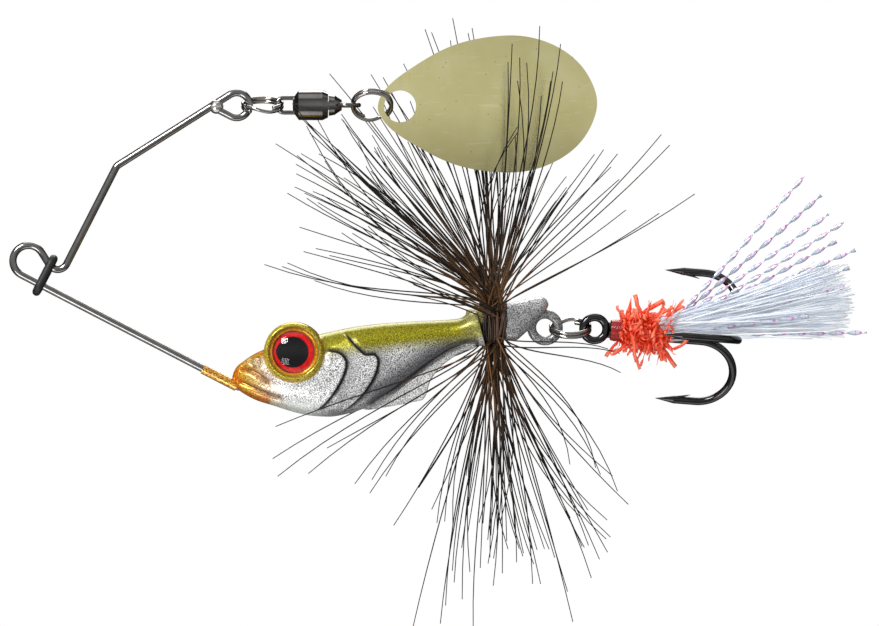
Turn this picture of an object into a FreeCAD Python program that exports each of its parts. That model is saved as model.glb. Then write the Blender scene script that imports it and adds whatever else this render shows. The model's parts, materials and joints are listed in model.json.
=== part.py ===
"""A spinner lure on a bent wire arm: a cast minnow body with a hackle and a dressed treble hook on the
lower arm, and a ball-bearing swivel with a flat blade on the upper arm. Millimetres, +Z up.

The lure is modelled as it hangs from the line. The origin is the centre of the line-tie loop. Points are
given in the lure's own terms by at(along, back, side): along is the distance down the lure from the line
tie (-Z), back is towards the lure's back (+X), and side is towards its right flank (+Y).
"""
import FreeCAD, Part
import math
import os

from FreeCAD import Vector

# ---- driving dimensions --------------------------------------------------------------------------------
# Wire arm: pins that the wire is bent round, as (along, back, radius of the wire's centre line, sense).
# Sense is 1 where the wire turns from along towards back, and -1 the other way.
ARM_WIRE_R = 0.45
ARM_INNER_END = (44.0, -12.6)
NOSE_PIN = (25.56, -13.65, 1.5, -1)
LINE_TIE_PIN = (0.0, 0.0, 1.87, -1)
VALLEY_PIN = (3.51, 0.178, 1.2, 1)
ELBOW_PIN = (11.43, 10.62, 1.1, -1)
ARM_EYE_PIN = (25.0, 18.7, 1.5, -1)
ARM_OUTER_END = (22.95, 18.06)
WELD_CENTRE = (22.55, 18.5)
WELD_R = 0.85

# Rubber keeper: a ring stretched round both runs of the wire beside the line tie.
KEEPER_CENTRE = (1.4, -2.86)
KEEPER_SECTION_R = 0.5
KEEPER_REACH = 2.56
LOWER_ARM_ANGLE = 27.3

# Nose sleeve, along the lower arm from its free end to inside the jaw.
SLEEVE_START = (20.93, -12.98)
SLEEVE_END = (25.0, -15.08)
SLEEVE_R = 0.58

# Casting: sections of the minnow, as (along, back of the top, back of the bottom, half width).
BODY_SECTIONS = [
    (24.55, -13.3, -14.7, 0.75),
    (25.4, -12.3, -15.75, 1.35),
    (27.4, -11.0, -16.8, 2.3),
    (31.0, -9.9, -17.9, 3.2),
    (35.4, -8.7, -18.7, 3.6),
    (39.5, -7.9, -18.05, 3.45),
    (43.0, -7.45, -16.1, 3.0),
    (47.0, -7.15, -13.2, 2.65),
    (51.0, -7.0, -10.9, 2.6),
    (54.2, -6.1, -10.35, 2.65),
]
FIN_OUTLINE = [
    (39.0, -17.2),
    (41.2, -17.78),
    (47.41, -16.64),
    (47.95, -15.4),
    (48.4, -14.1),
    (50.62, -11.93),
    (52.6, -10.5),
    (51.0, -9.4),
    (44.0, -13.5),
]
FIN_HALF_THICKNESS = 0.9
NECK_R = 1.6
NECK_CENTRE_BACK = -7.4
TAIL_BLOCK_OUTLINE = [
    (57.5, -5.05),
    (61.75, -4.22),
    (62.4, -4.85),
    (62.44, -5.6),
    (58.95, -9.35),
    (57.5, -9.6),
]
TAIL_BLOCK_HALF_WIDTH = 1.9
TAIL_BLOCK_EDGE = 0.5

# Eyes, one on each flank.
EYE_CENTRE = (31.9, -10.9)
SOCKET_R = 3.56
SOCKET_SIDE = 4.2
SOCKET_BEVEL = 0.55
SOCKET_RECESS_R = 2.9
SOCKET_RECESS = 0.45
EYE_FOIL_R = 2.88
EYE_FOIL_THICKNESS = 0.12
EYE_DOME_R = 2.5
EYE_DOME_HEIGHT = 0.95

# Tail eye: a wire loop set in the tail block.
TAIL_EYE = (61.99, -7.99)
TAIL_EYE_LOOP_R = 1.6
TAIL_EYE_WIRE_R = 0.55
TAIL_EYE_SHANK_END = (56.0, -7.3)

# Hackle: hair bound round the neck with thread.
COLLAR_ALONG = (54.6, 56.9)
COLLAR_R = 2.75
THREAD_R = 2.2
HAIR_ROOT_ALONG = 55.7
HAIR_ROOT_R = 3.1
HAIR_COUNT = 120
HAIR_REACH_ALONG = 31.5
HAIR_REACH_BACK = 37.2
HAIR_REACH_SIDE = 25.0
HAIR_R = 0.1
HAIR_CLEARANCE = 0.15

# Split rings: (along, back) of the centre, and the tilt of the ring's plane about the line of pull.
RING_OUTER_R = 2.575
RING_WIRE_R = 0.25
RING_HALF_PITCH = 0.22
ARM_RING = (28.08, 18.7)
ARM_RING_TILT = 18.0
BLADE_RING = (41.24, 18.7)
BLADE_RING_TILT = -44.0
TAIL_RING = (65.03, -8.06)
TAIL_RING_TILT = 22.0

# Ball-bearing swivel, turned about the line back = CHAIN_BACK.
CHAIN_BACK = 18.7
FRONT_LOOP_ALONG = 30.66
FRONT_LOOP_R = 0.87
FRONT_LOOP_WIRE_R = 0.275
BARREL_PROFILE = [(31.73, 0.8), (32.44, 1.8), (35.3, 1.82), (35.95, 1.5)]
BARREL_CAVITY = (33.1, 35.35)
BARREL_CAVITY_R = 1.45
SHAFT_BORE_R = 0.62
SHAFT_R = 0.55
FLANGE_ALONG = (34.4, 34.72)
FLANGE_R = 1.36
HEAD_PROFILE = [(36.05, 1.3), (36.75, 1.18), (37.15, 0.9), (37.6, 0.62)]
BALL_COUNT = 9
BALL_R = 0.29
BALL_CIRCLE_R = 1.0
REAR_LOOP_ALONG = 38.35
REAR_LOOP_R = 1.3
REAR_LOOP_WIRE_R = 0.27

# Blade: half widths along its length from the narrow end, then the cup and the hole.
BLADE_START = (41.92, 18.5)
BLADE_DROOP = 1.2
BLADE_LENGTH = 26.35
BLADE_HALF_WIDTHS = [(0.35, 1.2), (1.25, 2.4), (3.9, 4.4), (8.9, 7.05), (13.9, 8.12), (17.2, 8.15),
                     (21.3, 6.95), (24.3, 4.7), (25.8, 2.3)]
BLADE_HOLE = 2.68
BLADE_HOLE_R = 1.92
BLADE_THICKNESS = 0.4
BLADE_CUP_R = 62.0

# Treble hook: a double bent from one wire, with a single brazed to its shanks.
HOOK_EYE = (67.94, -8.15)
HOOK_EYE_R = 1.385
HOOK_WIRE_R = 0.475
HOOK_POINT_R = 0.03
BARB_ROOT_R = 0.285
HOOK_DROOP = 4.5
SHANK_OFFSET = 0.56
SHANK_START = 1.45
SINGLE_START = 2.4
BEND_START = 12.85
BEND_R = 4.2
SPEAR_LENGTH = 4.8
SPEAR_POINT = 2.2
BARB_START = 1.9
BARB_LENGTH = 2.3
BARB_RISE = 0.85
BARB_SINK = 0.1
HOOK_CLOCKING = {"down": 30.0, "up": 150.0, "near": 270.0}

# Dressing on the hook, measured along the hook from the centre of its eye.
HOOK_THREAD = (2.0, 3.1)
HOOK_THREAD_R = 1.35
CHENILLE = (3.1, 8.9)
CHENILLE_R = 2.35
FIBRE_ROOT = (77.1, -6.9)
FIBRE_ROOT_R = 1.5
FIBRE_END = (99.4, -5.5)
FIBRE_HALF_HEIGHT = 5.0
FIBRE_HALF_DEPTH = 3.2
FLASH_ROOT = (78.2, -5.9)
FLASH_R = 0.16
FLASH_TIPS = [(93.07, 10.19, -1.2), (95.23, 7.91, 1.0), (97.75, 4.6, -2.4), (97.15, 2.39, 2.6),
              (99.19, 1.31, -0.6), (98.71, -0.85, 3.2), (100.6, -8.65, -1.6)]


# ---- geometry helpers ----------------------------------------------------------------------------------
def at(along, back, side=0.0):
    """The point, or the direction, along down the lure, back towards its back and side to its right."""
    return Vector(back, side, -along)


ALONG = at(1, 0)
BACK = at(0, 1)
SIDE = at(0, 0, 1)


def turn_vector(vector, axis, degrees):
    return FreeCAD.Rotation(axis, degrees).multVec(vector)


def rod(start, end, radius, end_radius=None):
    """A round bar from start to end, or a tapered one."""
    span = end - start
    if end_radius is None:
        return Part.makeCylinder(radius, span.Length, start, span)
    return Part.makeCone(radius, end_radius, span.Length, start, span)


def outline_face(points):
    return Part.Face(Part.makePolygon(points + points[:1]))


def plate(outline, half_thickness):
    """A flat plate across the lure's middle plane from (along, back) points."""
    face = outline_face([at(along, back, -half_thickness) for along, back in outline])
    return face.extrude(SIDE * (2 * half_thickness))


def turned(profile, centre_back):
    """A solid turned about the line back = centre_back, from (along, radius) points."""
    closed = [(profile[0][0], 0.0)] + profile + [(profile[-1][0], 0.0)]
    face = outline_face([at(along, centre_back + radius) for along, radius in closed])
    return face.revolve(at(0, centre_back), ALONG, 360)


def tangent_run(first, second):
    """The ends of the straight run between two pins, each (along, back, radius, sense). A pin of radius 0
    is a point."""
    gap = (second[0] - first[0], second[1] - first[1])
    lean = math.asin((second[2] * second[3] - first[2] * first[3]) / math.hypot(*gap))
    heading = math.atan2(gap[1], gap[0]) - lean
    normal = (-math.sin(heading), math.cos(heading))
    return [
        (pin[0] - pin[3] * pin[2] * normal[0], pin[1] - pin[3] * pin[2] * normal[1])
        for pin in (first, second)
    ]


def pin_arc(pin, start, end):
    """The wire's arc round a pin, from one tangent point to the next."""
    first = math.atan2(start[1] - pin[1], start[0] - pin[0])
    last = math.atan2(end[1] - pin[1], end[0] - pin[0])
    middle = first + pin[3] * ((pin[3] * (last - first)) % (2 * math.pi)) / 2
    crown = at(pin[0] + pin[2] * math.cos(middle), pin[1] + pin[2] * math.sin(middle))
    return Part.Arc(at(*start), crown, at(*end)).toShape()


def swept(edges, radius):
    """A round wire along joined edges."""
    path = Part.Wire(edges)
    heading = edges[0].tangentAt(edges[0].FirstParameter)
    section = Part.Wire(Part.makeCircle(radius, edges[0].Vertexes[0].Point, heading))
    return path.makePipeShell([section], True, False)


def bent_wire(start, pins, end, radius):
    """A wire from start to end in the middle plane, bent round pins and straight between them."""
    stops = [(*start, 0.0, 1)] + pins + [(*end, 0.0, 1)]
    runs = [tangent_run(first, second) for first, second in zip(stops, stops[1:])]
    edges = []
    for number, (run_start, run_end) in enumerate(runs):
        if number:
            edges.append(pin_arc(stops[number], runs[number - 1][1], run_start))
        edges.append(Part.makeLine(at(*run_start), at(*run_end)))
    return swept(edges, radius)


def split_ring(centre, tilt):
    """Two coils of wire pressed together. Its plane holds the line of pull and is tilted about it."""
    radius = RING_OUTER_R - RING_WIRE_R
    waist = math.sqrt(RING_WIRE_R ** 2 - RING_HALF_PITCH ** 2)
    crown = RING_HALF_PITCH + RING_WIRE_R
    inner = Vector(radius - waist, 0, 0)
    outer = Vector(radius + waist, 0, 0)
    upper = Part.Arc(outer, Vector(radius, 0, crown), inner).toShape()
    lower = Part.Arc(inner, Vector(radius, 0, -crown), outer).toShape()
    ring = Part.Face(Part.Wire([upper, lower])).revolve(Vector(), Vector(0, 0, 1), 360)
    normal = turn_vector(BACK, ALONG, tilt)
    ring.Placement = FreeCAD.Placement(at(*centre), FreeCAD.Rotation(Vector(0, 0, 1), normal))
    return ring


# ---- wire arm and what is on it ------------------------------------------------------------------------
def wire_arm():
    pins = [NOSE_PIN, LINE_TIE_PIN, VALLEY_PIN, ELBOW_PIN, ARM_EYE_PIN]
    return bent_wire(ARM_INNER_END, pins, ARM_OUTER_END, ARM_WIRE_R)


def arm_eye_weld(arm):
    """The bead that closes the arm's eye."""
    return Part.makeSphere(WELD_R, at(*WELD_CENTRE)).cut(arm)


def line_keeper(arm):
    """The rubber ring, its inside moulded to the two runs of wire that it grips."""
    angle = math.radians(LOWER_ARM_ANGLE)
    across = at(math.sin(angle), math.cos(angle))
    near = at(*KEEPER_CENTRE)
    far = near + across * KEEPER_REACH
    bow = ARM_WIRE_R + KEEPER_SECTION_R
    corners = [near - SIDE * bow, near + SIDE * bow, far + SIDE * bow, far - SIDE * bow]
    edges = [
        Part.Arc(corners[0], near - across * bow, corners[1]).toShape(),
        Part.makeLine(corners[1], corners[2]),
        Part.Arc(corners[2], far + across * bow, corners[3]).toShape(),
        Part.makeLine(corners[3], corners[0]),
    ]
    return swept(edges, KEEPER_SECTION_R).cut(arm)


def nose_sleeve(arm):
    return rod(at(*SLEEVE_START), at(*SLEEVE_END), SLEEVE_R).cut(arm)


# ---- casting -------------------------------------------------------------------------------------------
def minnow():
    """The fish's body, lofted through oval sections."""
    ovals = []
    for along, top, bottom, half_width in BODY_SECTIONS:
        half_height = (top - bottom) / 2
        long_axis, short_axis = (BACK, SIDE) if half_height > half_width else (SIDE, BACK)
        radii = sorted((half_height, half_width), reverse=True)
        centre = at(along, (top + bottom) / 2)
        oval = Part.Ellipse(
            centre + long_axis * radii[0], centre + short_axis * radii[1], centre
        )
        ovals.append(Part.Wire(oval.toShape()))
    return Part.makeLoft(ovals, True)


def eye_sockets():
    """A round boss right through the head, bevelled at each end."""
    half = Part.makeCylinder(SOCKET_R, SOCKET_SIDE - SOCKET_BEVEL, at(*EYE_CENTRE), SIDE)
    bevel = Part.makeCone(
        SOCKET_R, SOCKET_R - SOCKET_BEVEL, SOCKET_BEVEL,
        at(*EYE_CENTRE, SOCKET_SIDE - SOCKET_BEVEL), SIDE,
    )
    recess = Part.makeCylinder(
        SOCKET_RECESS_R, SOCKET_RECESS, at(*EYE_CENTRE, SOCKET_SIDE - SOCKET_RECESS), SIDE
    )
    right = half.fuse(bevel).cut(recess)
    return right.fuse(right.mirror(Vector(), SIDE))


def tail_block():
    block = plate(TAIL_BLOCK_OUTLINE, TAIL_BLOCK_HALF_WIDTH)
    return block.makeFillet(TAIL_BLOCK_EDGE, block.Edges)


def body_casting(inserts):
    """Head, belly fin, neck and tail block, cast in one round the wires set in them."""
    neck = Part.makeCylinder(NECK_R, 5.0, at(53.5, NECK_CENTRE_BACK), ALONG)
    casting = minnow().multiFuse(
        [eye_sockets(), plate(FIN_OUTLINE, FIN_HALF_THICKNESS), neck, tail_block()]
    )
    for insert in inserts:
        casting = casting.cut(insert)
    return casting


def eye_foil(side):
    """The printed disc behind the eye's dome. side is -1 for the left eye and 1 for the right."""
    face = (SOCKET_SIDE - SOCKET_RECESS) * side
    return Part.makeCylinder(EYE_FOIL_R, EYE_FOIL_THICKNESS, at(*EYE_CENTRE, face), SIDE * side)


def eye_dome(side):
    """A cap of clear resin on the disc."""
    face = (SOCKET_SIDE - SOCKET_RECESS + EYE_FOIL_THICKNESS) * side
    ball_r = (EYE_DOME_R ** 2 + EYE_DOME_HEIGHT ** 2) / (2 * EYE_DOME_HEIGHT)
    ball = Part.makeSphere(ball_r, at(*EYE_CENTRE, face - side * (ball_r - EYE_DOME_HEIGHT)))
    slab = Part.makeCylinder(EYE_DOME_R, EYE_DOME_HEIGHT, at(*EYE_CENTRE, face), SIDE * side)
    return ball.common(slab)


def tail_eye():
    loop = Part.makeTorus(TAIL_EYE_LOOP_R, TAIL_EYE_WIRE_R, at(*TAIL_EYE), SIDE)
    root = at(TAIL_EYE[0] - TAIL_EYE_LOOP_R, TAIL_EYE[1])
    return loop.fuse(rod(root, at(*TAIL_EYE_SHANK_END), TAIL_EYE_WIRE_R))


# ---- hackle --------------------------------------------------------------------------------------------
def hackle_collar():
    """The butts of the hair, packed round the neck."""
    start, end = COLLAR_ALONG
    outer = Part.makeCylinder(COLLAR_R, end - start, at(start, NECK_CENTRE_BACK), ALONG)
    return outer.cut(Part.makeCylinder(NECK_R, end, at(start, NECK_CENTRE_BACK), ALONG))


def hackle_thread():
    """The turns of thread that bind the hair, up to the tail block."""
    start, end = COLLAR_ALONG[1], TAIL_BLOCK_OUTLINE[0][0]
    outer = Part.makeCylinder(THREAD_R, end - start, at(start, NECK_CENTRE_BACK), ALONG)
    return outer.cut(Part.makeCylinder(NECK_R, end, at(start, NECK_CENTRE_BACK), ALONG))


def hackle_hair(neighbours):
    """Single hairs in an even spiral over an ellipsoid round the collar. One that would touch another
    piece is left out."""
    obstacle = Part.makeCompound(neighbours)
    root_centre = at(HAIR_ROOT_ALONG, NECK_CENTRE_BACK)
    golden_angle = math.pi * (3 - math.sqrt(5))
    hairs = []
    for number in range(HAIR_COUNT):
        lean = 1 - 2 * (number + 0.5) / HAIR_COUNT
        flare = math.sqrt(1 - lean ** 2)
        back = flare * math.cos(number * golden_angle)
        side = flare * math.sin(number * golden_angle)
        outward = at(0, back, side).normalize()
        root = root_centre + outward * HAIR_ROOT_R
        tip = root_centre + at(
            lean * HAIR_REACH_ALONG, back * HAIR_REACH_BACK, side * HAIR_REACH_SIDE
        )
        hair = rod(root, tip, HAIR_R)
        if hair.distToShape(obstacle)[0] > HAIR_CLEARANCE:
            hairs.append(hair)
    return Part.makeCompound(hairs)


# ---- swivel --------------------------------------------------------------------------------------------
def swivel_front_loop():
    """A hairpin of wire whose legs are set in the front of the barrel."""
    inner_end = BARREL_CAVITY[0] - 0.3
    crown = at(FRONT_LOOP_ALONG - FRONT_LOOP_R, CHAIN_BACK)
    upper = at(FRONT_LOOP_ALONG, CHAIN_BACK + FRONT_LOOP_R)
    lower = at(FRONT_LOOP_ALONG, CHAIN_BACK - FRONT_LOOP_R)
    edges = [
        Part.makeLine(at(inner_end, CHAIN_BACK + FRONT_LOOP_R), upper),
        Part.Arc(upper, crown, lower).toShape(),
        Part.makeLine(lower, at(inner_end, CHAIN_BACK - FRONT_LOOP_R)),
    ]
    return swept(edges, FRONT_LOOP_WIRE_R)


def swivel_barrel(front_loop):
    start, end = BARREL_CAVITY
    cavity = turned([(start, BARREL_CAVITY_R), (end, BARREL_CAVITY_R)], CHAIN_BACK)
    bore = turned([(start, SHAFT_BORE_R), (BARREL_PROFILE[-1][0] + 1, SHAFT_BORE_R)], CHAIN_BACK)
    return turned(BARREL_PROFILE, CHAIN_BACK).cut(cavity).cut(bore).cut(front_loop)


def swivel_balls():
    """The bearing's balls, between the shaft's flange and the barrel's rear wall."""
    along = (FLANGE_ALONG[1] + BARREL_CAVITY[1]) / 2
    centre = at(along, CHAIN_BACK)
    balls = []
    for number in range(BALL_COUNT):
        spoke = turn_vector(BACK, ALONG, 360 * number / BALL_COUNT)
        balls.append(Part.makeSphere(BALL_R, centre + spoke * BALL_CIRCLE_R))
    return Part.makeCompound(balls)


def swivel_shaft():
    """Flange, stem, outer head and the loop that takes the blade's ring."""
    stem = turned([(FLANGE_ALONG[0], SHAFT_R), (HEAD_PROFILE[1][0], SHAFT_R)], CHAIN_BACK)
    flange = turned([(along, FLANGE_R) for along in FLANGE_ALONG], CHAIN_BACK)
    loop = Part.makeTorus(REAR_LOOP_R, REAR_LOOP_WIRE_R, at(REAR_LOOP_ALONG, CHAIN_BACK), BACK)
    return stem.multiFuse([flange, turned(HEAD_PROFILE, CHAIN_BACK), loop])


# ---- blade ---------------------------------------------------------------------------------------------
def spinner_blade():
    """A teardrop cut from a shallow cup, hollow towards the lure's right side."""
    right = [Vector(x, w, 0) for x, w in BLADE_HALF_WIDTHS]
    left = [Vector(x, -w, 0) for x, w in reversed(BLADE_HALF_WIDTHS)]
    rim = Part.BSplineCurve()
    rim.interpolate([Vector(0, 0, 0)] + right + [Vector(BLADE_LENGTH, 0, 0)] + left, PeriodicFlag=True)
    blank = Part.Face(Part.Wire(rim.toShape())).extrude(Vector(0, 0, 10))
    blank.translate(Vector(0, 0, -5))
    drop = math.sqrt(BLADE_CUP_R ** 2 - (BLADE_LENGTH / 2 - BLADE_HOLE) ** 2)
    centre = Vector(BLADE_LENGTH / 2, 0, -drop)
    half = BLADE_THICKNESS / 2
    cup = Part.makeSphere(BLADE_CUP_R + half, centre).cut(Part.makeSphere(BLADE_CUP_R - half, centre))
    hole = Part.makeCylinder(BLADE_HOLE_R, 10, Vector(BLADE_HOLE, 0, -5))
    blade = cup.common(blank).cut(hole)
    length = turn_vector(ALONG, SIDE, -BLADE_DROOP)
    width = length.cross(SIDE)
    turn = FreeCAD.Matrix(
        length.x, width.x, -SIDE.x, 0, length.y, width.y, -SIDE.y, 0, length.z, width.z, -SIDE.z, 0,
    )
    blade.Placement = FreeCAD.Placement(at(*BLADE_START), FreeCAD.Placement(turn).Rotation)
    return blade


# ---- hook ----------------------------------------------------------------------------------------------
HOOK_ALONG = turn_vector(ALONG, SIDE, HOOK_DROOP)
HOOK_ACROSS = HOOK_ALONG.cross(SIDE)


def on_hook(along, outward=0.0, clocking=0.0):
    """A point along the hook from the centre of its eye, and outward in one hook's own plane. Clocking
    turns from straight below the shank towards the lure's right side."""
    below = HOOK_ACROSS * -1 if HOOK_ACROSS.dot(BACK) > 0 else HOOK_ACROSS
    angle = math.radians(clocking)
    spoke = below * math.cos(angle) + SIDE * math.sin(angle)
    return at(*HOOK_EYE) + HOOK_ALONG * along + spoke * outward


def single_hook(name, start):
    """Shank, round bend and barbed spear."""
    clocking = HOOK_CLOCKING[name]
    spear_out = SHANK_OFFSET + 2 * BEND_R
    point = BEND_START - SPEAR_LENGTH

    def place(along, outward):
        return on_hook(along, outward, clocking)

    edges = [
        Part.makeLine(place(start, SHANK_OFFSET), place(BEND_START, SHANK_OFFSET)),
        Part.Arc(
            place(BEND_START, SHANK_OFFSET),
            place(BEND_START + BEND_R, SHANK_OFFSET + BEND_R),
            place(BEND_START, spear_out),
        ).toShape(),
        Part.makeLine(place(BEND_START, spear_out), place(point + SPEAR_POINT, spear_out)),
    ]
    tip = rod(place(point + SPEAR_POINT, spear_out), place(point, spear_out), HOOK_WIRE_R, HOOK_POINT_R)
    barb_root = place(point + BARB_START, spear_out - BARB_SINK)
    barb_tip = place(point + BARB_START + BARB_LENGTH, spear_out - BARB_RISE)
    barb = rod(barb_root, barb_tip, BARB_ROOT_R, HOOK_POINT_R)
    return swept(edges, HOOK_WIRE_R).multiFuse([tip, barb])


def hook_double():
    """Two hooks and the eye, bent from one wire."""
    eye = Part.makeTorus(HOOK_EYE_R, HOOK_WIRE_R, on_hook(0), SIDE)
    return eye.multiFuse([single_hook("down", SHANK_START), single_hook("up", SHANK_START)])


def hook_single(double):
    return single_hook("near", SINGLE_START).cut(double)


def wrapping(span, radius, shanks):
    """A round dressing on the shanks, which fills the grooves between them."""
    sleeve = rod(on_hook(span[0]), on_hook(span[1]), radius)
    for shank in shanks:
        sleeve = sleeve.cut(shank)
    return sleeve


def flash_strands(hooks):
    """Twisted strands of flash, fanned out above the fibres."""
    strands = [rod(at(*FLASH_ROOT), at(*tip), FLASH_R) for tip in FLASH_TIPS]
    bundle = strands[0].multiFuse(strands[1:])
    for hook in hooks:
        bundle = bundle.cut(hook)
    return bundle


def tail_fibres(hooks, strands):
    """The bundle of fibres tied in behind the chenille, as one flattened cone."""
    root = Part.Wire(Part.makeCircle(FIBRE_ROOT_R, at(*FIBRE_ROOT), ALONG))
    centre = at(*FIBRE_END)
    oval = Part.Ellipse(centre + BACK * FIBRE_HALF_HEIGHT, centre + SIDE * FIBRE_HALF_DEPTH, centre)
    bundle = Part.makeLoft([root, Part.Wire(oval.toShape())], True, True)
    for neighbour in hooks + [strands]:
        bundle = bundle.cut(neighbour)
    return bundle


# ---- assembly ------------------------------------------------------------------------------------------
def pieces():
    arm = wire_arm()
    weld = arm_eye_weld(arm)
    sleeve = nose_sleeve(arm)
    eye_wire = tail_eye()
    foils = {"left": eye_foil(-1), "right": eye_foil(1)}
    domes = {"left": eye_dome(-1), "right": eye_dome(1)}
    casting = body_casting([arm, sleeve, eye_wire])
    loop = swivel_front_loop()
    double = hook_double()
    single = hook_single(double)
    hooks = [double, single]
    strands = flash_strands(hooks)
    made = {
        "wire_arm": arm,
        "arm_eye_weld": weld,
        "line_keeper": line_keeper(arm),
        "nose_sleeve": sleeve,
        "body_casting": casting,
        "tail_eye": eye_wire,
        "hackle_collar": hackle_collar(),
        "hackle_thread": hackle_thread(),
        "arm_split_ring": split_ring(ARM_RING, ARM_RING_TILT),
        "swivel_front_loop": loop,
        "swivel_barrel": swivel_barrel(loop),
        "swivel_balls": swivel_balls(),
        "swivel_shaft": swivel_shaft(),
        "blade_split_ring": split_ring(BLADE_RING, BLADE_RING_TILT),
        "spinner_blade": spinner_blade(),
        "tail_split_ring": split_ring(TAIL_RING, TAIL_RING_TILT),
        "hook_double": double,
        "hook_single": single,
        "hook_thread": wrapping(HOOK_THREAD, HOOK_THREAD_R, hooks),
        "hook_chenille": wrapping(CHENILLE, CHENILLE_R, hooks),
        "flash_strands": strands,
        "tail_fibres": tail_fibres(hooks, strands),
    }
    for flank in ("left", "right"):
        made["eye_foil_" + flank] = foils[flank]
        made["eye_dome_" + flank] = domes[flank]
    made["hackle_hair"] = hackle_hair(list(made.values()))
    return made


os.makedirs("parts", exist_ok=True)
for name, shape in pieces().items():
    print(f"{name:18} solids {len(shape.Solids):3} valid {shape.isValid()} volume {shape.Volume:9.3f}")
    shape.exportStep(f"parts/{name}.step")
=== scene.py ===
"""Looks of the wire-arm spinner lure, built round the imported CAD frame.

Shapes are worked out in millimetres in the lure's own terms, (along, back, side): along is down the lure
from the line tie, back is towards its back, and side is towards its right flank. to_frame() turns them
into metres in the row frame, where the lure hangs with +Z up the line.
"""

import json
import math
import random

import bpy
import numpy as np
from mathutils import Matrix, Vector

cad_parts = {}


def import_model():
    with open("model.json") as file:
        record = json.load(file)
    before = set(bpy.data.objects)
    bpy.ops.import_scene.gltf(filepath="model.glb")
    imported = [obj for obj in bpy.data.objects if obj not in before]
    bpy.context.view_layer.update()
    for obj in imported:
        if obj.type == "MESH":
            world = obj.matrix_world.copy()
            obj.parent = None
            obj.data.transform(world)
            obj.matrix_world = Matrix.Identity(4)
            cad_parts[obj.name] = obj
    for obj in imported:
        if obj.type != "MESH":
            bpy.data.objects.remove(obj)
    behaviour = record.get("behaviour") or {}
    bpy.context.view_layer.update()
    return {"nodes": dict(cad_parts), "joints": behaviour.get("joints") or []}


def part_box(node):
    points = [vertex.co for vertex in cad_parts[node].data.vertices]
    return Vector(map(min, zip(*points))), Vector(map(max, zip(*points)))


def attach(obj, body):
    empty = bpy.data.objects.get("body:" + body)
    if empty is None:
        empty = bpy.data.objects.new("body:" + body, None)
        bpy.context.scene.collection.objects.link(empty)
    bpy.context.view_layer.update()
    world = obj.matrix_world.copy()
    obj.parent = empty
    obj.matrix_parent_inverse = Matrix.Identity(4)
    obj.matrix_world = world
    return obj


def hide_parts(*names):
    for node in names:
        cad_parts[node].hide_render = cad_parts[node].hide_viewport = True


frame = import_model()
MM = 0.001


# ---- places taken from the frame -----------------------------------------------------------------------
def to_frame(points):
    """Metres in the row frame, from millimetres along, back and side."""
    points = np.asarray(points, float).reshape(-1, 3)
    return np.stack([points[:, 1], points[:, 2], -points[:, 0]], axis=1) * MM


def span(node):
    """Lowest and highest (along, back, side) of a CAD node, in millimetres."""
    low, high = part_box(node)
    return (
        np.array([-high.z, low.x, low.y]) / MM,
        np.array([-low.z, high.x, high.y]) / MM,
    )


def middle(node):
    low, high = span(node)
    return (low + high) / 2


def joint_axis(name):
    """A joint's axis as a direction along, back and side."""
    x, y, z = next(j["axis"] for j in frame["joints"] if j["name"] == name)
    return np.array([-z, x, y])


def unit(vector):
    vector = np.asarray(vector, float)
    return vector / np.linalg.norm(vector)


ALONG = np.array([1.0, 0.0, 0.0])
BACK = np.array([0.0, 1.0, 0.0])
SIDE = np.array([0.0, 0.0, 1.0])


# ---- mesh helpers --------------------------------------------------------------------------------------
def new_object(name, vertices, faces, smooth=True):
    """A mesh object from millimetre points."""
    mesh = bpy.data.meshes.new(name)
    mesh.from_pydata(to_frame(vertices).tolist(), [], faces)
    mesh.validate()
    mesh.shade_smooth() if smooth else mesh.shade_flat()
    piece = bpy.data.objects.new(name, mesh)
    bpy.context.scene.collection.objects.link(piece)
    return piece


def set_mask(piece, name, values):
    """Stores one number per vertex for a material to read."""
    layer = piece.data.attributes.new(name, "FLOAT", "POINT")
    layer.data.foreach_set("value", np.asarray(values, np.float32))


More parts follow.
